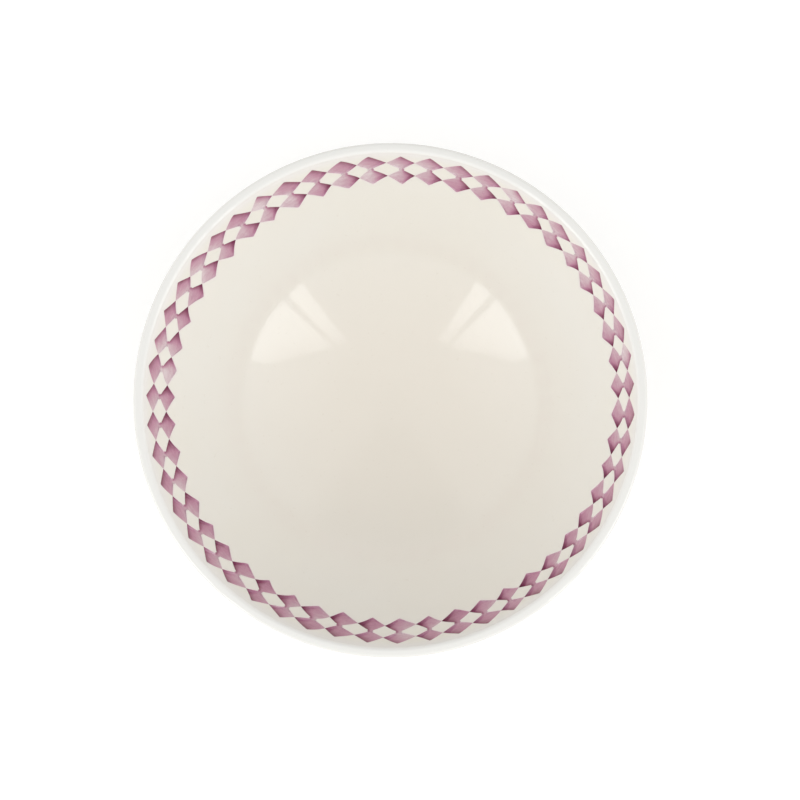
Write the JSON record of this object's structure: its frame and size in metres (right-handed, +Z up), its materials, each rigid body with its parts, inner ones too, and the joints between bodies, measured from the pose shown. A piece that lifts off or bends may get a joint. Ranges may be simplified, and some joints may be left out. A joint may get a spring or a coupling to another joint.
{
  "type": "bowl",
  "caption": "Round glazed pottery bowl on a foot ring, with two rows of lilac lozenges let into the inner wall under the rim",
  "frame": {"origin": "centre of the foot ring, on the surface that the bowl stands on", "axes": "+Z up along the bowl's axis of revolution; +X and +Y in the plane of the rim, with the border's first lozenges turned 3.3 degrees from +X towards +Y"},
  "size_m": [0.15, 0.15, 0.0645],
  "materials": {
    "biscuit": "matt",
    "ivory_glaze": "gloss",
    "lilac_glaze": "gloss",
    "plum_glaze": "gloss"
  },
  "bodies": {
    "root": {"body": "biscuit", "foot_ring": "biscuit", "inner_glaze": "ivory_glaze", "outer_glaze": "ivory_glaze", "foot_well_glaze": "ivory_glaze", "upper_lozenges": "lilac_glaze", "lower_lozenges": "lilac_glaze", "upper_pools": "plum_glaze", "lower_pools": "plum_glaze"}
  },
  "joints": []
}
